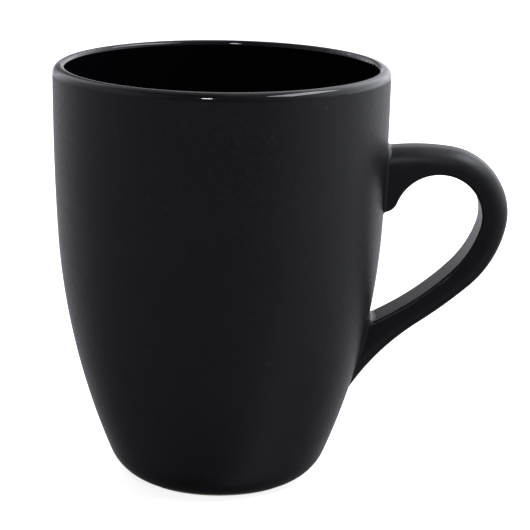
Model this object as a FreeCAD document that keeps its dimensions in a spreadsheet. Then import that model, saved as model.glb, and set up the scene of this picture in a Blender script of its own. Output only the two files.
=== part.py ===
import FreeCAD, Part
import math
import os
import Sketcher

# Ceramic mug: a jiggered stoneware cup with a cast strap handle luted on with
# slip, a gloss liner glaze inside and over the lip, and a matt glaze outside.
# The origin is the middle of the foot ring on the table. +Z is up and the
# handle points along +X. Millimetres and degrees.

os.makedirs("parts", exist_ok=True)
doc = FreeCAD.newDocument("CeramicMug")

SIZES = [
    # Cup, measured over its glaze.
    ("rim_radius", 42.5),
    ("rim_height", 107.0),
    ("lip_outer_round", 2.0),
    ("lip_inner_round", 1.1),
    ("wall_taper", 0.95),
    ("wall_straight", 10.67),
    ("shoulder_radius", 670.0),
    ("shoulder_turn", 2.44),
    ("belly_radius", 177.3),
    ("belly_turn", 19.41),
    ("base_radius", 13.4),
    ("base_turn", 38.0),
    # Bore, measured over its glaze.
    ("bore_straight", 10.6),
    ("bore_shoulder_radius", 480.0),
    ("bore_shoulder_turn", 2.7),
    ("bore_belly_radius", 193.0),
    ("bore_belly_turn", 18.2),
    ("bore_corner_radius", 9.5),
    ("bore_corner_turn", 68.15),
    # Foot ring and the recess that it leaves under the floor.
    ("foot_radius", 19.8),
    ("foot_width", 3.4),
    ("foot_round", 0.35),
    ("recess_depth", 2.0),
    ("recess_slope", 0.8),
    ("recess_glaze_radius", 15.0),
    # Every coat of glaze, and the bed of slip that takes its place at a root.
    ("glaze", 0.4),
    # Handle, measured over its glaze.
    ("handle_root", 40.0),
    ("handle_width", 12.0),
    ("handle_outer_round", 4.5),
    ("handle_inner_round", 0.8),
    ("crown_reach", 49.8),
    ("crown_height", 87.3),
    ("crown_radius", 60.2),
    ("crown_rise", 7.0),
    ("crown_run", 2.5),
    ("crown_fall", 8.0),
    ("crest_radius", 17.38),
    ("crest_turn", 48.7),
    ("bend_radius", 16.55),
    ("bend_turn", 44.7),
    ("back_radius", 28.2),
    ("back_turn", 37.3),
    ("tail_radius", 122.5),
    ("tail_turn", 7.5),
    ("flare_radius", 61.0),
    ("flare_turn", 28.2),
    ("finger_foot", 70.8),
    ("finger_run", 1.15),
    ("finger_flare_radius", 3.7),
    ("finger_flare_turn", 69.1),
    ("finger_top_radius", 11.4),
    ("finger_top_turn", 82.8),
    ("finger_back_radius", 10.7),
    ("finger_back_turn", 95.2),
    ("finger_low_radius", 26.7),
    ("finger_low_turn", 26.8),
    ("finger_tail_radius", 71.9),
    ("finger_tail_turn", 16.6),
    ("finger_tail_run", 6.9),
    # A quarter of a turn, for directions measured from level or plumb.
    ("quarter", 90.0),
]

sheet = doc.addObject("Spreadsheet::Sheet", "Sizes")
for row, (alias, value) in enumerate(SIZES, start=1):
    sheet.set("A%d" % row, alias)
    sheet.set("B%d" % row, str(value))
    sheet.setAlias("B%d" % row, alias)
doc.recompute()


def amount(words):
    """The number that a sum such as 'belly_radius - glaze' comes to."""
    total, sign = 0.0, 1.0
    for word in words.split():
        if word in "+-":
            sign = 1.0 if word == "+" else -1.0
        else:
            total += sign * sheet.get(word)
    return total


def formula(words, unit=""):
    """The same sum as an expression on the sheet's cells."""
    parts = [w if w in "+-" else "Sizes." + w for w in words.split()]
    return "(%s)%s" % (" ".join(parts), " * 1 " + unit if unit else "")


class Outline:
    """Lines and arcs drawn one after another in a sketch.

    The pen is at (x, z) and points along heading, in degrees from +X. Each
    piece starts where the last one ended, and its size is bound to the sheet.
    """

    def __init__(self, sketch, x, z, heading):
        self.sketch = sketch
        self.x, self.z = amount(x), amount(z)
        self.heading = heading
        self.start = FreeCAD.Vector(self.x, self.z, 0)
        self.where = (x, z)
        self.first = None
        self.last = None

    def bind(self, kind, *where, words=None, unit="mm"):
        number = amount(words)
        if unit == "deg":
            number = math.radians(number)
        index = self.sketch.addConstraint(Sketcher.Constraint(kind, *where, number))
        self.sketch.setExpression("Constraints[%d]" % index, formula(words, unit))

    def joined(self, piece, begin, finish, smooth):
        """Ties a new piece to the last one, or the first to its place."""
        if self.last:
            kind = "Tangent" if smooth else "Coincident"
            self.sketch.addConstraint(Sketcher.Constraint(kind, *self.last, piece, begin))
        else:
            self.first = (piece, begin)
            self.bind("DistanceX", -1, 1, piece, begin, words=self.where[0])
            self.bind("DistanceY", -1, 1, piece, begin, words=self.where[1])
        self.last = (piece, finish)

    def arc(self, radius, turn, left=False, smooth=True, guide=False):
        size, sweep = amount(radius), math.radians(amount(turn))
        side = 1.0 if left else -1.0
        start = math.radians(self.heading) - side * math.pi / 2
        end = start + side * sweep
        cx = self.x - size * math.cos(start)
        cz = self.z - size * math.sin(start)
        circle = Part.Circle(FreeCAD.Vector(cx, cz, 0), FreeCAD.Vector(0, 0, 1), size)
        low, high = min(start, end), max(start, end)
        piece = self.sketch.addGeometry(Part.ArcOfCircle(circle, low, high), guide)
        begin, finish = (1, 2) if left else (2, 1)
        alone = self.last is None
        self.joined(piece, begin, finish, smooth)
        if alone:
            self.sketch.addConstraint(Sketcher.Constraint("Vertical", piece, 3, piece, begin))
        self.bind("Radius", piece, words=radius)
        self.bind("Angle", piece, words=turn, unit="deg")
        self.x = cx + size * math.cos(end)
        self.z = cz + size * math.sin(end)
        self.heading += side * amount(turn)

    def level_first(self):
        """Holds the first straight piece level."""
        self.sketch.addConstraint(Sketcher.Constraint("Horizontal", self.first[0]))

    def line(self, length, smooth=True):
        size = amount(length)
        along = math.radians(self.heading)
        self.to(self.x + size * math.cos(along), self.z + size * math.sin(along), smooth)
        self.bind("Distance", self.last[0], words=length)

    def to(self, x, z, smooth=False):
        """A straight piece to a point; returns its number in the sketch."""
        segment = Part.LineSegment(self.end(), FreeCAD.Vector(x, z, 0))
        piece = self.sketch.addGeometry(segment, False)
        self.joined(piece, 1, 2, smooth)
        self.x, self.z = x, z
        return piece

    def end(self):
        return FreeCAD.Vector(self.x, self.z, 0)

    def meet(self, other_end, other):
        """A straight piece that closes onto the end of another outline."""
        piece = self.to(other.x, other.z)
        self.sketch.addConstraint(Sketcher.Constraint("Coincident", piece, 2, *other_end))


def new_body(name):
    body = doc.addObject("PartDesign::Body", name)
    body.Label = name
    body.Placement = FreeCAD.Placement()
    return body


def side_sketch(body, name):
    """A sketch on the body's XZ plane: sketch x is +X and sketch y is +Z."""
    sketch = body.newObject("Sketcher::SketchObject", name)
    plane = next(f for f in body.Origin.OriginFeatures if f.Role == "XZ_Plane")
    sketch.AttachmentSupport = [(plane, "")]
    sketch.MapMode = "FlatFace"
    return sketch


def turned(body, sketch, name):
    turn = body.newObject("PartDesign::Revolution", name)
    turn.Profile = sketch
    turn.ReferenceAxis = (sketch, ["V_Axis"])
    turn.Angle = 360.0
    body.Tip = turn
    doc.recompute()
    return turn


def outer_wall(sketch, skin, guide_lip=False):
    """The outside from the top of the lip down to the glaze line."""
    top = "rim_height" + skin
    wall = Outline(sketch, "rim_radius - lip_outer_round", top, 0.0)
    wall.arc("lip_outer_round" + skin, "quarter + wall_taper", guide=guide_lip)
    lip_end = wall.last
    wall.line("wall_straight")
    wall.arc("shoulder_radius" + skin, "shoulder_turn")
    wall.arc("belly_radius" + skin, "belly_turn")
    wall.arc("base_radius" + skin, "base_turn")
    return wall, lip_end


def bore_wall(sketch, skin, back):
    """The inside from the top of the lip down to the edge of the floor."""
    top = "rim_height" + skin
    wall = Outline(sketch, "rim_radius - lip_outer_round", top, 180.0)
    wall.arc("lip_inner_round" + skin, "quarter - wall_taper", left=True)
    wall.line("bore_straight")
    wall.arc("bore_shoulder_radius" + back, "bore_shoulder_turn")
    wall.arc("bore_belly_radius" + back, "bore_belly_turn")
    wall.arc("bore_corner_radius" + back, "bore_corner_turn")
    return wall


def on_axis(sketch, piece):
    sketch.addConstraint(Sketcher.Constraint("PointOnObject", piece, 2, -2))


def make_cup_body():
    """Bare stoneware: wall, floor and foot ring, under the glaze."""
    body = new_body("cup_body")
    sketch = side_sketch(body, "CupSection")
    wall, _ = outer_wall(sketch, " - glaze")
    foot = sheet.get("foot_radius")
    heel = foot - sheet.get("foot_width")
    step = heel - sheet.get("recess_slope")
    depth = sheet.get("recess_depth")
    bevel = wall.to(foot, 0.0)
    sketch.addConstraint(Sketcher.Constraint("PointOnObject", bevel, 2, -1))
    wall.bind("DistanceX", -1, 1, bevel, 2, words="foot_radius")
    ring = wall.to(heel, 0.0)
    sketch.addConstraint(Sketcher.Constraint("Horizontal", ring))
    wall.bind("DistanceX", -1, 1, ring, 2, words="foot_radius - foot_width")
    slope = wall.to(step, depth)
    wall.bind("DistanceX", -1, 1, slope, 2,
              words="foot_radius - foot_width - recess_slope")
    wall.bind("DistanceY", -1, 1, slope, 2, words="recess_depth")
    ceiling = wall.to(0.0, depth)
    sketch.addConstraint(Sketcher.Constraint("Horizontal", ceiling))
    on_axis(sketch, ceiling)
    bore = bore_wall(sketch, " - glaze", " + glaze")
    floor = bore.to(0.0, bore.z, smooth=True)
    on_axis(sketch, floor)
    wall.meet(bore.last, bore)
    solid = turned(body, sketch, "CupTurned")
    ring_edges = []
    for number, edge in enumerate(solid.Shape.Edges, start=1):
        if isinstance(edge.Curve, Part.Circle) and abs(edge.Curve.Center.z) < 1e-6:
            ring_edges.append("Edge%d" % number)
    rounding = body.newObject("PartDesign::Fillet", "FootRounding")
    rounding.Base = (solid, ring_edges)
    rounding.setExpression("Radius", "Sizes.foot_round * 1 mm")
    body.Tip = rounding
    doc.recompute()
    return body


def handle_outline(sketch, grow):
    """The strap's outline, drawn from the top of its crown and from the finger run.

    grow is added all round: "" for the glazed strap, " - glaze" for the bare.
    """
    shrink = grow.replace("-", "+")
    root = Outline(sketch, "crown_reach", "crown_height" + grow, 180.0)
    root.arc("crown_radius" + grow, "crown_rise", left=True)
    root.line("crown_run")
    back = Outline(sketch, "crown_reach", "crown_height" + grow, 0.0)
    back.arc("crown_radius" + grow, "crown_fall")
    back.arc("crest_radius" + grow, "crest_turn")
    back.arc("bend_radius" + grow, "bend_turn")
    back.arc("back_radius" + grow, "back_turn")
    back.arc("tail_radius" + grow, "tail_turn")
    back.arc("flare_radius" + shrink, "flare_turn", left=True)
    front = Outline(sketch, "handle_root", "finger_foot" + shrink, 0.0)
    front.line("finger_run")
    front.level_first()
    front.arc("finger_flare_radius" + grow, "finger_flare_turn", left=True)
    front.arc("finger_top_radius" + shrink, "finger_top_turn")
    front.arc("finger_back_radius" + shrink, "finger_back_turn")
    front.arc("finger_low_radius" + shrink, "finger_low_turn")
    front.arc("finger_tail_radius" + shrink, "finger_tail_turn")
    front.line("finger_tail_run")
    back.meet(front.last, front)
    top = sketch.addGeometry(Part.LineSegment(root.end(), front.start), False)
    sketch.addConstraint(Sketcher.Constraint("Coincident", top, 1, *root.last))
    sketch.addConstraint(Sketcher.Constraint("Coincident", top, 2, *front.first))


def edges_at(shape, half_width, length):
    """Names of the straight edges of a length that lie on the shape's two sides."""
    names = []
    for number, edge in enumerate(shape.Edges, start=1):
        middle = edge.valueAt((edge.FirstParameter + edge.LastParameter) / 2)
        beside = abs(abs(middle.y) - half_width) < 1e-6
        if beside and isinstance(edge.Curve, Part.Line) and abs(edge.Length - length) < 1e-6:
            names.append("Edge%d" % number)
    return names


def make_strap(name, grow, width):
    """The ear-shaped strap in one width, with both ends run on into the wall."""
    body = new_body(name)
    title = name.title().replace("_", "")
    sketch = side_sketch(body, title + "Outline")
    handle_outline(sketch, grow)
    pad = body.newObject("PartDesign::Pad", title + "Pad")
    pad.Profile = sketch
    pad.Midplane = True
    pad.setExpression("Length", formula(width, "mm"))
    body.Tip = pad
    doc.recompute()
    return body


def round_edges(body, name, run, radius):
    """Rounds the long tangent edges that start with a straight piece."""
    half_width = body.Shape.BoundBox.YMax
    base = body.Tip
    edges = edges_at(base.Shape, half_width, amount(run))
    rounding = body.newObject("PartDesign::Fillet", name)
    rounding.Base = (base, edges)
    rounding.setExpression("Radius", formula(radius, "mm"))
    body.Tip = rounding
    doc.recompute()


def cap(sketch, one, other):
    """A straight piece between the ends of two outlines."""
    piece = sketch.addGeometry(Part.LineSegment(one.end(), other.end()), False)
    sketch.addConstraint(Sketcher.Constraint("Coincident", piece, 1, *one.last))
    sketch.addConstraint(Sketcher.Constraint("Coincident", piece, 2, *other.last))


def make_liner_glaze():
    """Gloss coat over the floor, the bore and the lip's round edge."""
    body = new_body("liner_glaze")
    sketch = side_sketch(body, "LinerSection")
    ends = []
    for skin, back in (("", ""), (" - glaze", " + glaze")):
        lip = Outline(sketch, "rim_radius - lip_outer_round", "rim_height" + skin, 0.0)
        lip.arc("lip_outer_round" + skin, "quarter + wall_taper")
        bore = bore_wall(sketch, skin, back)
        floor = bore.to(0.0, bore.z, smooth=True)
        on_axis(sketch, floor)
        ends.append((lip, bore))
    cap(sketch, ends[0][0], ends[1][0])
    cap(sketch, ends[0][1], ends[1][1])
    turned(body, sketch, "LinerTurned")
    return body


def make_outer_coat():
    """Matt coat from the lip's edge to just above the foot, all the way round."""
    body = new_body("outer_coat")
    sketch = side_sketch(body, "OuterCoatSection")
    coat, coat_lip = outer_wall(sketch, "", guide_lip=True)
    clay, clay_lip = outer_wall(sketch, " - glaze", guide_lip=True)
    cap(sketch, coat, clay)
    starts = [sketch.getPoint(*coat_lip), sketch.getPoint(*clay_lip)]
    piece = sketch.addGeometry(Part.LineSegment(*starts), False)
    sketch.addConstraint(Sketcher.Constraint("Coincident", piece, 1, *coat_lip))
    sketch.addConstraint(Sketcher.Constraint("Coincident", piece, 2, *clay_lip))
    turned(body, sketch, "OuterCoatTurned")
    return body


def make_recess_glaze():
    """A thin disc of glaze on the floor's underside, inside the foot ring."""
    disc = doc.addObject("Part::Cylinder", "foot_recess_glaze")
    disc.Label = "foot_recess_glaze"
    disc.setExpression("Radius", "Sizes.recess_glaze_radius * 1 mm")
    disc.setExpression("Height", "Sizes.glaze * 1 mm")
    disc.setExpression("Placement.Base.z", "(Sizes.recess_depth - Sizes.glaze) * 1 mm")
    return disc


def combined(kind, name, base, tool):
    """A Part::Cut, Part::Common or Part::Fuse of two objects."""
    result = doc.addObject("Part::" + kind, name)
    result.Label = name
    result.Base = base
    result.Tool = tool
    return result


def make_slip_joint(name, bed, low):
    """One of the two beds of slip: the part of both inside a block."""
    block = doc.addObject("Part::Box", name + "_block")
    block.setExpression("Length", "2 * Sizes.rim_radius * 1 mm")
    block.setExpression("Width", "2 * Sizes.rim_radius * 1 mm")
    block.setExpression("Height", "Sizes.rim_height / 2 * 1 mm")
    block.setExpression("Placement.Base.y", "-Sizes.rim_radius * 1 mm")
    if not low:
        block.setExpression("Placement.Base.z", "Sizes.rim_height / 2 * 1 mm")
    return combined("Common", name, bed, block)


def write_parts(parts):
    """Stops on any broken feature, then writes one STEP file for each part."""
    for thing in doc.Objects:
        if "Invalid" in thing.State or "Error" in thing.State:
            raise RuntimeError("%s: %s" % (thing.Name, thing.getStatusString()))
    for part in parts:
        shape = part.Shape
        if shape.isNull() or not shape.isValid() or len(shape.Solids) != 1:
            raise RuntimeError("%s has a bad shape" % part.Label)
        shape.exportStep(os.path.join("parts", part.Label + ".step"))
        print("%-20s %9.1f mm3" % (part.Label, shape.Volume))


cup_body = make_cup_body()
liner_glaze = make_liner_glaze()
outer_coat = make_outer_coat()
foot_recess_glaze = make_recess_glaze()

bare_strap = make_strap("bare_strap", " - glaze", "handle_width - glaze - glaze")
round_edges(bare_strap, "BareBack", "crown_run", "handle_outer_round - glaze")
round_edges(bare_strap, "BareFingers", "finger_run", "handle_inner_round - glaze")
glazed_strap = make_strap("glazed_strap", "", "handle_width")
round_edges(glazed_strap, "GlazedBack", "crown_run", "handle_outer_round")
round_edges(glazed_strap, "GlazedFingers", "finger_run", "handle_inner_round")

# Both straps run on into the wall, so the cup with its coat trims their ends.
coated_cup = combined("Fuse", "coated_cup", cup_body, outer_coat)
handle = combined("Cut", "handle", bare_strap, coated_cup)
coat_sleeve = combined("Cut", "coat_sleeve", glazed_strap, bare_strap)
handle_glaze = combined("Cut", "handle_glaze", coat_sleeve, coated_cup)
exterior_glaze = combined("Cut", "exterior_glaze", outer_coat, bare_strap)
slip_bed = combined("Common", "slip_bed", outer_coat, bare_strap)
upper_slip_joint = make_slip_joint("upper_slip_joint", slip_bed, low=False)
lower_slip_joint = make_slip_joint("lower_slip_joint", slip_bed, low=True)
doc.recompute()

write_parts([
    cup_body, handle, upper_slip_joint, lower_slip_joint,
    liner_glaze, exterior_glaze, handle_glaze, foot_recess_glaze,
])
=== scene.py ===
import math

import bpy
from mathutils import Matrix, Vector
from mathutils.bvhtree import BVHTree


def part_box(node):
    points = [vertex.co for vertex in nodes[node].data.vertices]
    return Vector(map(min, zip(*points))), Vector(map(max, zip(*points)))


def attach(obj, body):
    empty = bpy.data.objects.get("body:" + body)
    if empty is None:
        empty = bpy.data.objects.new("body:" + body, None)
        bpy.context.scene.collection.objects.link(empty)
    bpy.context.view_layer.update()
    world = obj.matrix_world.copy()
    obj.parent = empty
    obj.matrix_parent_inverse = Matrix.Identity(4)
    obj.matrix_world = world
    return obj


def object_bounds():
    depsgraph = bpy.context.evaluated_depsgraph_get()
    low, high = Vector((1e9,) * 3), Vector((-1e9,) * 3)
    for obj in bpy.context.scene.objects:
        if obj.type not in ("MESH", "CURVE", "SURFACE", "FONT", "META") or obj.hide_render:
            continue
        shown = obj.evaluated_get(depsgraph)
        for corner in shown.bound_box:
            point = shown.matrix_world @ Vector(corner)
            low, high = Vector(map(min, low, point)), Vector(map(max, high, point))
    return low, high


# Ceramic mug, in metres, in the CAD frame: foot ring on z = 0, handle along +X.
# The CAD solids give the cup, its coats of glaze and the handle. This script adds
# the fillets of glazed slip at the handle's roots, the glazes, light and camera.

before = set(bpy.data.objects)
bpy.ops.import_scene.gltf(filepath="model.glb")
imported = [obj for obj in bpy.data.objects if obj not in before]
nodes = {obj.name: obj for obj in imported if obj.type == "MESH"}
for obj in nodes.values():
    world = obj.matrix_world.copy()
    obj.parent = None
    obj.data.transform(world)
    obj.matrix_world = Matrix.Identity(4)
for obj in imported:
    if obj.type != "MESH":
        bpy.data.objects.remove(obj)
cad_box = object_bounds()

MM = 0.001


# ---------------------------------------------------------------- materials

class Shader:
    """A node material, with short calls for the nodes that it is made of."""

    def __init__(self, name):
        self.material = bpy.data.materials.new(name)
        self.material.use_nodes = True
        self.tree = self.material.node_tree
        self.tree.nodes.clear()
        self.bsdf = self.tree.nodes.new("ShaderNodeBsdfPrincipled")
        output = self.tree.nodes.new("ShaderNodeOutputMaterial")
        self.tree.links.new(self.bsdf.outputs["BSDF"], output.inputs["Surface"])
        self.place = self.tree.nodes.new("ShaderNodeTexCoord").outputs["Object"]

    def wire(self, value, socket):
        """Links an output, or sets a plain value."""
        if isinstance(value, bpy.types.NodeSocket):
            self.tree.links.new(value, socket)
        else:
            socket.default_value = value

    def height(self):
        """How far above the table a point is, in metres."""
        split = self.tree.nodes.new("ShaderNodeSeparateXYZ")
        self.tree.links.new(self.place, split.inputs["Vector"])
        return split.outputs["Z"]

    def noise(self, size, detail=4.0, rough=0.5, stretch=(1.0, 1.0, 1.0)):
        """Noise whose features are about size metres across."""
        mapping = self.tree.nodes.new("ShaderNodeMapping")
        mapping.inputs["Scale"].default_value = stretch
        self.tree.links.new(self.place, mapping.inputs["Vector"])
        node = self.tree.nodes.new("ShaderNodeTexNoise")
        self.tree.links.new(mapping.outputs["Vector"], node.inputs["Vector"])
        node.inputs["Scale"].default_value = 1.0 / size
        node.inputs["Detail"].default_value = detail
        node.inputs["Roughness"].default_value = rough
        return node.outputs["Fac"]

    def specks(self, size, share):
        """White on a small round spot in some of the cells, which are about size metres across.

        Each cell has a random colour, and its red picks about that share of the cells.
        """
        cells = self.tree.nodes.new("ShaderNodeTexVoronoi")
        self.tree.links.new(self.place, cells.inputs["Vector"])
        cells.inputs["Scale"].default_value = 1.0 / size
        spot = self.spread(cells.outputs["Distance"], 0.10, 0.22, 1.0, 0.0)
        split = self.tree.nodes.new("ShaderNodeSeparateColor")
        self.tree.links.new(cells.outputs["Color"], split.inputs["Color"])
        chosen = self.spread(split.outputs["Red"], 1.0 - share - 0.02, 1.0 - share, 0.0, 1.0)
        return self.math("MULTIPLY", spot, chosen)

    def spread(self, value, low, high, to_low, to_high):
        """Maps low..high onto to_low..to_high, clamped."""
        node = self.tree.nodes.new("ShaderNodeMapRange")
        self.wire(value, node.inputs["Value"])
        for name, number in (("From Min", low), ("From Max", high),
                             ("To Min", to_low), ("To Max", to_high)):
            node.inputs[name].default_value = number
        return node.outputs["Result"]

    def math(self, operation, one, other):
        node = self.tree.nodes.new("ShaderNodeMath")
        node.operation = operation
        self.wire(one, node.inputs[0])
        self.wire(other, node.inputs[1])
        return node.outputs["Value"]

    def mix(self, factor, dark, light):
        node = self.tree.nodes.new("ShaderNodeMix")
        node.data_type = "RGBA"
        self.wire(factor, node.inputs["Factor"])
        self.wire(dark, node.inputs["A"])
        self.wire(light, node.inputs["B"])
        return node.outputs["Result"]

    def bump(self, heights):
        """Stacks bumps given as (height output, depth in metres)."""
        normal = None
        for height, depth in heights:
            node = self.tree.nodes.new("ShaderNodeBump")
            node.inputs["Strength"].default_value = 1.0
            node.inputs["Distance"].default_value = depth
            self.wire(height, node.inputs["Height"])
            if normal:
                self.tree.links.new(normal, node.inputs["Normal"])
            normal = node.outputs["Normal"]
        self.tree.links.new(normal, self.bsdf.inputs["Normal"])

    def set(self, **values):
        for name, value in values.items():
            self.wire(value, self.bsdf.inputs[name.replace("_", " ")])


# The black that the painted shade on the handle's lower half darkens towards.
PAINTED_SHADE_BLACK = (0.0003, 0.0, 0.0012, 1.0)


def matt_glaze(name, painted_shade=0.0, painted_shade_low=0.0, painted_shade_high=1.0):
    """Charcoal satin-matt glaze: fine tooth, faint cloudiness, a few pinholes.

    With painted shade, the tone goes that far to the deepest black from the upper height
    down to the lower height, in metres above the table.
    """
    shader = Shader(name)
    cloud = shader.noise(0.018, detail=5.0, rough=0.6)
    grain = shader.noise(0.0011, detail=3.0, rough=0.6)
    tooth = shader.noise(0.00045, detail=2.0, rough=0.5)
    pits = shader.specks(0.0042, 0.10)
    tone = shader.mix(shader.spread(cloud, 0.35, 0.65, 0.0, 1.0),
                      (0.0062, 0.0063, 0.0074, 1.0), (0.0086, 0.0087, 0.0100, 1.0))
    tone = shader.mix(shader.spread(grain, 0.35, 0.75, 0.0, 0.6),
                      tone, (0.0125, 0.0126, 0.0142, 1.0))
    tone = shader.mix(shader.math("MULTIPLY", pits, 0.5), tone, (0.022, 0.022, 0.024, 1.0))
    # Painted shade: below the upper height the tone darkens towards black, most at the lower
    # height.
    if painted_shade > 0.0:
        painted_shade_mask = shader.spread(shader.height(), painted_shade_low, painted_shade_high, painted_shade, 0.0)
        tone = shader.mix(painted_shade_mask, tone, PAINTED_SHADE_BLACK)
    shader.set(Base_Color=tone,
               Roughness=shader.spread(grain, 0.3, 0.7, 0.36, 0.46),
               IOR=1.48)
    shader.bump([(cloud, 0.00018), (grain, 0.00003), (tooth, 0.000012), (pits, -0.00003)])
    return shader.material


def strap_glaze_with_painted_shade():
    """The handle's matt glaze: the same, with painted shade that darkens it below the crown.

    The lower handle is darker in the photograph than this studio's light would make it.
    The painted shade starts and ends at shares of the handle's height.
    """
    painted_shade_start, painted_shade_end = 0.917, 0.604
    low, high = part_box("handle_glaze")
    tall = high.z - low.z
    return matt_glaze("strap_charcoal_glaze_painted_shade", painted_shade=0.85,
                      painted_shade_low=low.z + painted_shade_end * tall, painted_shade_high=low.z + painted_shade_start * tall)


def gloss_glaze():
    """Black liner glaze: glassy, with a slow ripple from the pour."""
    shader = Shader("gloss_black_glaze")
    pour = shader.noise(0.030, detail=2.0, rough=0.4, stretch=(1.0, 1.0, 0.5))
    peel = shader.noise(0.0035, detail=2.0, rough=0.4)
    pits = shader.specks(0.006, 0.06)
    tone = shader.mix(shader.spread(pour, 0.35, 0.65, 0.0, 1.0),
                      (0.0017, 0.0015, 0.0022, 1.0), (0.0027, 0.0024, 0.0034, 1.0))
    shader.set(Base_Color=tone,
               Roughness=shader.spread(peel, 0.3, 0.7, 0.05, 0.09),
               IOR=1.52)
    shader.bump([(pour, 0.00020), (peel, 0.000010), (pits, -0.00002)])
    return shader.material


def bare_stoneware():
    """Unglazed clay of the foot ring: buff, sandy, with iron specks."""
    shader = Shader("bare_stoneware")
    cloud = shader.noise(0.008, detail=4.0)
    sand = shader.noise(0.0006, detail=4.0, rough=0.7)
    iron = shader.specks(0.0016, 0.12)
    tone = shader.mix(shader.spread(cloud, 0.35, 0.65, 0.0, 1.0),
                      (0.42, 0.36, 0.29, 1.0), (0.52, 0.46, 0.38, 1.0))
    tone = shader.mix(shader.spread(sand, 0.4, 0.7, 0.0, 0.5), tone, (0.62, 0.57, 0.50, 1.0))
    tone = shader.mix(iron, tone, (0.10, 0.07, 0.05, 1.0))
    shader.set(Base_Color=tone, Roughness=shader.spread(sand, 0.3, 0.7, 0.75, 0.92))
    shader.bump([(cloud, 0.0001), (sand, 0.00006)])
    return shader.material


def fired_slip():
    """Slip fired between handle and cup: finer and greyer than the clay."""
    shader = Shader("fired_slip")
    cloud = shader.noise(0.003, detail=4.0)
    grain = shader.noise(0.0004, detail=3.0)
    tone = shader.mix(shader.spread(cloud, 0.35, 0.65, 0.0, 1.0),
                      (0.36, 0.32, 0.27, 1.0), (0.46, 0.41, 0.35, 1.0))
    shader.set(Base_Color=tone, Roughness=shader.spread(grain, 0.3, 0.7, 0.80, 0.90))
    shader.bump([(cloud, 0.00005), (grain, 0.00003)])
    return shader.material


def paper_floor():
    """Plain pale studio floor."""
    shader = Shader("pale_floor")
    fibre = shader.noise(0.02, detail=3.0)
    tone = shader.mix(fibre, (0.86, 0.86, 0.86, 1.0), (0.90, 0.90, 0.90, 1.0))
    shader.set(Base_Color=tone, Roughness=shader.spread(fibre, 0.3, 0.7, 0.85, 0.95),
               Emission_Color=(1.0, 1.0, 1.0, 1.0), Emission_Strength=0.78)
    shader.bump([(fibre, 0.00005)])
    return shader.material


MATT = matt_glaze("matt_charcoal_glaze")
# The handle's matt glaze, with painted shade on its lower half.
STRAP_MATT_PAINTED_SHADE = strap_glaze_with_painted_shade()
GLOSS = gloss_glaze()
CLAY = bare_stoneware()
SLIP = fired_slip()
COATS = {
    "cup_body": CLAY,
    "handle": CLAY,
    "upper_slip_joint": SLIP,
    "lower_slip_joint": SLIP,
    "liner_glaze": GLOSS,
    "foot_recess_glaze": GLOSS,
    "exterior_glaze": MATT,
    "handle_glaze": STRAP_MATT_PAINTED_SHADE,
}
for name, material in COATS.items():
    node = nodes[name]
    node.data.materials.clear()
    node.data.materials.append(material)


# ------------------------------------------------- fillets at the handle's roots

# A fillet is the surface that a ball leaves when it rolls round the root of the
# handle, touching the glaze of the cup and the glaze of the handle.
FILLET_RADIUS = 1.2 * MM
FILLET_STATIONS = 192     # sections round a root
FILLET_STEPS = 10         # steps across each section's arc
SETTLING_STEPS = 30       # steps to bring the ball to rest
SINK = 0.015 * MM         # how far the arc's ends lie under the glazes, so that no gap shows
KEEL = 0.25 * MM          # how far the hidden side goes past the corner of the glazes


def tree_of(name):
    """A CAD node's surface, for finding its nearest point."""
    mesh = nodes[name].data
    return BVHTree.FromPolygons([v.co for v in mesh.vertices],
                                [tuple(p.vertices) for p in mesh.polygons])


def roll_ball(point, cup, strap):
    """Moves a ball's centre until it rests on both surfaces; returns it and both ways down."""
    for _ in range(SETTLING_STEPS):
        on_cup, _normal, _face, cup_distance = cup.find_nearest(point)
        on_strap, _normal, _face, strap_distance = strap.find_nearest(point)
        from_cup = (point - on_cup) / cup_distance
        from_strap = (point - on_strap) / strap_distance
        lean = from_cup.dot(from_strap)
        cup_gap, strap_gap = FILLET_RADIUS - cup_distance, FILLET_RADIUS - strap_distance
        whole = 1.0 - lean * lean
        point = (point + from_cup * ((cup_gap - lean * strap_gap) / whole)
                 + from_strap * ((strap_gap - lean * cup_gap) / whole))
    return point, -from_cup, -from_strap


def fillet_section(centre, to_cup, to_strap):
    """A concave arc from the cup to the strap, and a keel point down in the joint."""
    reach = FILLET_RADIUS + SINK
    angle = to_cup.angle(to_strap)
    points = []
    for step in range(FILLET_STEPS + 1):
        share = step / FILLET_STEPS
        one, other = math.sin((1.0 - share) * angle), math.sin(share * angle)
        points.append(centre + (to_cup * one + to_strap * other) * (reach / math.sin(angle)))
    middle = (to_cup + to_strap).normalized()
    corner = FILLET_RADIUS / math.cos(angle / 2)
    points.append(centre + middle * (corner + KEEL))
    return points


def boxy(wave):
    """Takes a sine or cosine towards its limit, which squares a circle's corners."""
    return math.copysign(math.sqrt(abs(wave)), wave)


def spaced_evenly(ring, count):
    """The same closed ring, with its points at even distances."""
    steps = [(ring[i - 1] - ring[i]).length for i in range(1, len(ring))]
    steps.append((ring[-1] - ring[0]).length)
    whole = sum(steps)
    points, index, passed = [], 0, 0.0
    for number in range(count):
        goal = whole * number / count
        while passed + steps[index] < goal:
            passed += steps[index]
            index += 1
        share = (goal - passed) / steps[index]
        points.append(ring[index].lerp(ring[(index + 1) % len(ring)], share))
    return points


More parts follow.
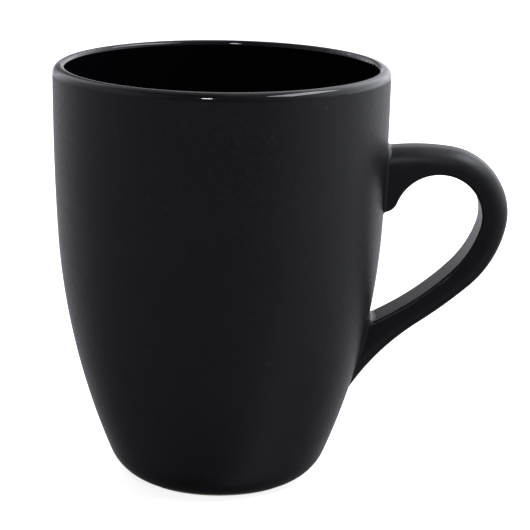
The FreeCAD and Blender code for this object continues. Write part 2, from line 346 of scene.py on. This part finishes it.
def ball_path(joint, cup, strap):
    """The ring of places where the ball's centre rests, round one root.

    The ball starts outside both surfaces, on a loop a little larger than the joint.
    """
    low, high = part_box(joint)
    across = high.y + 2.0 * FILLET_RADIUS
    low.y = high.y = 0.0
    middle, upward = (low + high) / 2, (high - low).normalized()
    along = (high - low).length / 2 + 3.0 * FILLET_RADIUS
    path = []
    for station in range(FILLET_STATIONS):
        turn = 2.0 * math.pi * station / FILLET_STATIONS
        start = (middle + upward * boxy(math.cos(turn)) * along
                 + Vector((2.0 * FILLET_RADIUS, boxy(math.sin(turn)) * across, 0.0)))
        path.append(roll_ball(start, cup, strap)[0])
    return spaced_evenly(path, FILLET_STATIONS)


def ring_faces(count, size):
    """Quads between rings of size points, and from the last ring back to the first."""
    faces = []
    for station in range(count):
        here, there = station * size, (station + 1) % count * size
        for side in range(size):
            after = (side + 1) % size
            faces.append((here + side, here + after, there + after, there + side))
    return faces


def add_root_fillet(name, joint):
    """A ring of slip wiped round one root of the handle, under the same glaze."""
    cup, strap = tree_of("exterior_glaze"), tree_of("handle_glaze")
    sections = [fillet_section(*roll_ball(centre, cup, strap))
                for centre in ball_path(joint, cup, strap)]
    corners = [point for section in sections for point in section]
    mesh = bpy.data.meshes.new(name)
    mesh.from_pydata(corners, [], ring_faces(len(sections), len(sections[0])))
    mesh.materials.append(MATT)
    mesh.shade_smooth()
    piece = bpy.data.objects.new(name, mesh)
    bpy.context.scene.collection.objects.link(piece)
    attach(piece, "root")


add_root_fillet("upper_root_fillet", "upper_slip_joint")
add_root_fillet("lower_root_fillet", "lower_slip_joint")


# ------------------------------------------------------------ floor and light

# The studio's brightness in five bands, from straight below to straight above. A stop is
# an angle, in degrees from the front with the right positive, and the brightness there.
SHADOW_GLOW = [(-180, 0.02), (-60, 0.03), (0, 0.04), (30, 0.04), (60, 0.45), (90, 0.12),
               (120, 0.03), (180, 0.02)]
UNDERSIDE_GLOW = [(-180, 0.06), (-120, 0.08), (-80, 0.16), (-45, 0.21), (0, 0.21),
                  (35, 0.18), (60, 0.38), (85, 0.14), (180, 0.08)]
TABLE_GLOW = [(-180, 1.15), (-168, 1.1), (-155, 0.82), (-135, 0.62), (-121, 0.43),
              (-103, 0.31), (-80, 0.24), (-60, 0.20), (0, 0.11), (30, 0.15), (56, 0.26),
              (80, 0.40), (98, 0.46), (116, 0.62), (130, 0.85), (160, 1.0), (180, 1.0)]
ROOM_GLOW = [(-180, 0.85), (-168, 0.20), (-160, 0.40), (-148, 1.40), (-135, 1.1),
             (-120, 0.65), (-107, 0.50), (-90, 0.45), (-72, 0.38), (-30, 0.14), (0, 0.12),
             (34, 0.22), (62, 0.5), (80, 1.0), (99, 1.3), (120, 1.8), (150, 2.4),
             (160, 1.6), (170, 0.95), (180, 0.85)]
CEILING_GLOW = [(-180, 0.38), (-150, 0.34), (-110, 0.24), (-60, 0.13), (-20, 0.11),
                (0, 0.15), (30, 0.25), (90, 0.3), (150, 0.6), (170, 0.6), (180, 0.38)]

# Each later band takes over between two heights of the light's direction, where -1 is
# straight down and 1 is straight up.
TAKEOVERS = [(-0.94, -0.68, UNDERSIDE_GLOW), (-0.64, -0.20, TABLE_GLOW),
             (-0.15, 0.15, ROOM_GLOW), (0.55, 0.90, CEILING_GLOW)]


def add_floor():
    """For the camera only: the floor neither lights the mug nor shows in its gloss."""
    reach = 6.0
    mesh = bpy.data.meshes.new("floor")
    corners = [(-reach, -reach, 0.0), (reach, -reach, 0.0),
               (reach, reach, 0.0), (-reach, reach, 0.0)]
    mesh.from_pydata(corners, [], [(0, 1, 2, 3)])
    mesh.materials.append(paper_floor())
    floor = bpy.data.objects.new("floor", mesh)
    bpy.context.scene.collection.objects.link(floor)
    floor.visible_glossy = False
    floor.visible_diffuse = False


def add_softbox(name, azimuth, elevation, distance, size, power, tint=(1.0, 1.0, 1.0)):
    """A soft rectangle of light aimed at the middle of the mug.

    Azimuth 0 is in front, on -Y, and 90 is at the right, on +X.
    """
    lamp = bpy.data.lights.new(name, "AREA")
    lamp.shape = "RECTANGLE"
    lamp.size, lamp.size_y = size
    lamp.energy = power
    lamp.color = tint
    box = bpy.data.objects.new(name, lamp)
    bpy.context.scene.collection.objects.link(box)
    around, up = math.radians(azimuth), math.radians(elevation)
    aim = (cad_box[0] + cad_box[1]) / 2
    outward = Vector((math.sin(around) * math.cos(up), -math.cos(around) * math.cos(up),
                      math.sin(up)))
    box.location = aim + outward * distance
    box.rotation_euler = outward.to_track_quat("Z", "Y").to_euler()


def turn_ramp(tree, turn, stops):
    """Brightness by compass angle, from stops of degrees and brightness.

    The light is cool, most of all at the sides, with a trace of green at the right.
    """
    ramp = tree.nodes.new("ShaderNodeValToRGB")
    tree.links.new(turn, ramp.inputs["Fac"])
    marks = ramp.color_ramp.elements
    while len(marks) < len(stops):
        marks.new(0.5)
    for mark, (degrees, level) in zip(marks, stops):
        mark.position = degrees / 360.0 + 0.5
        side = math.sin(math.radians(degrees))
        green, blue = 0.995 + 0.025 * side, 1.07 + 0.02 * side * side
        mark.color = (level, green * level, blue * level, 1.0)
    return ramp.outputs["Color"]


def blend_by_height(tree, height, low, high, lower, upper):
    """Goes from lower to upper as the height of the direction goes from low to high."""
    share = tree.nodes.new("ShaderNodeMapRange")
    share.interpolation_type = "SMOOTHSTEP"
    tree.links.new(height, share.inputs["Value"])
    share.inputs["From Min"].default_value = low
    share.inputs["From Max"].default_value = high
    mix = tree.nodes.new("ShaderNodeMix")
    mix.data_type = "RGBA"
    tree.links.new(share.outputs["Result"], mix.inputs["Factor"])
    tree.links.new(lower, mix.inputs["A"])
    tree.links.new(upper, mix.inputs["B"])
    return mix.outputs["Result"]


def add_world():
    """A studio whose white sweep is behind the mug, with its open side to the right."""
    world = bpy.data.worlds.new("studio")
    world.use_nodes = True
    bpy.context.scene.world = world
    tree = world.node_tree
    tree.nodes.clear()
    output = tree.nodes.new("ShaderNodeOutputWorld")
    back = tree.nodes.new("ShaderNodeBackground")
    tree.links.new(back.outputs["Background"], output.inputs["Surface"])
    place = tree.nodes.new("ShaderNodeTexCoord").outputs["Generated"]
    split = tree.nodes.new("ShaderNodeSeparateXYZ")
    tree.links.new(place, split.inputs["Vector"])
    height = split.outputs["Z"]
    quarter_turn = tree.nodes.new("ShaderNodeMapping")
    quarter_turn.inputs["Rotation"].default_value = (0.0, 0.0, math.pi / 2)
    tree.links.new(place, quarter_turn.inputs["Vector"])
    dial = tree.nodes.new("ShaderNodeTexGradient")
    dial.gradient_type = "RADIAL"
    tree.links.new(quarter_turn.outputs["Vector"], dial.inputs["Vector"])
    turn = dial.outputs["Fac"]
    glow = turn_ramp(tree, turn, SHADOW_GLOW)
    for low, high, stops in TAKEOVERS:
        glow = blend_by_height(tree, height, low, high, glow, turn_ramp(tree, turn, stops))
    tree.links.new(glow, back.inputs["Color"])


add_floor()
add_world()
add_softbox("right_key", 85.0, 57.0, 1.5, (1.15, 0.48), 11.5, (0.91, 0.93, 1.0))
add_softbox("front_spark", -11.5, 35.0, 1.2, (0.13, 0.13), 2.0, (0.94, 0.95, 1.0))


# ------------------------------------------------------------------- camera

def add_camera():
    """The camera in front, above the rim and looking down a little; metres and radians."""
    back, height = 0.6440, 0.2122
    pitch, yaw, roll = 0.23875, 0.01801, 0.01661
    ahead = Vector((math.sin(yaw) * math.cos(pitch), math.cos(yaw) * math.cos(pitch),
                    -math.sin(pitch)))
    level = Vector((math.cos(yaw), -math.sin(yaw), 0.0))
    upward = level.cross(ahead)
    right = level * math.cos(roll) + upward * math.sin(roll)
    up = upward * math.cos(roll) - level * math.sin(roll)
    camera = bpy.data.objects.new("camera", bpy.data.cameras.new("camera"))
    bpy.context.scene.collection.objects.link(camera)
    camera.data.sensor_width = 36.0
    camera.data.lens = 176.2
    camera.data.clip_start = 0.05
    camera.data.clip_end = 30.0
    turn = Matrix((right, up, -ahead)).transposed().to_4x4()
    camera.matrix_world = Matrix.Translation((0.0, -back, height)) @ turn
    bpy.context.scene.camera = camera


add_camera()
bpy.context.scene.view_settings.view_transform = "Standard"
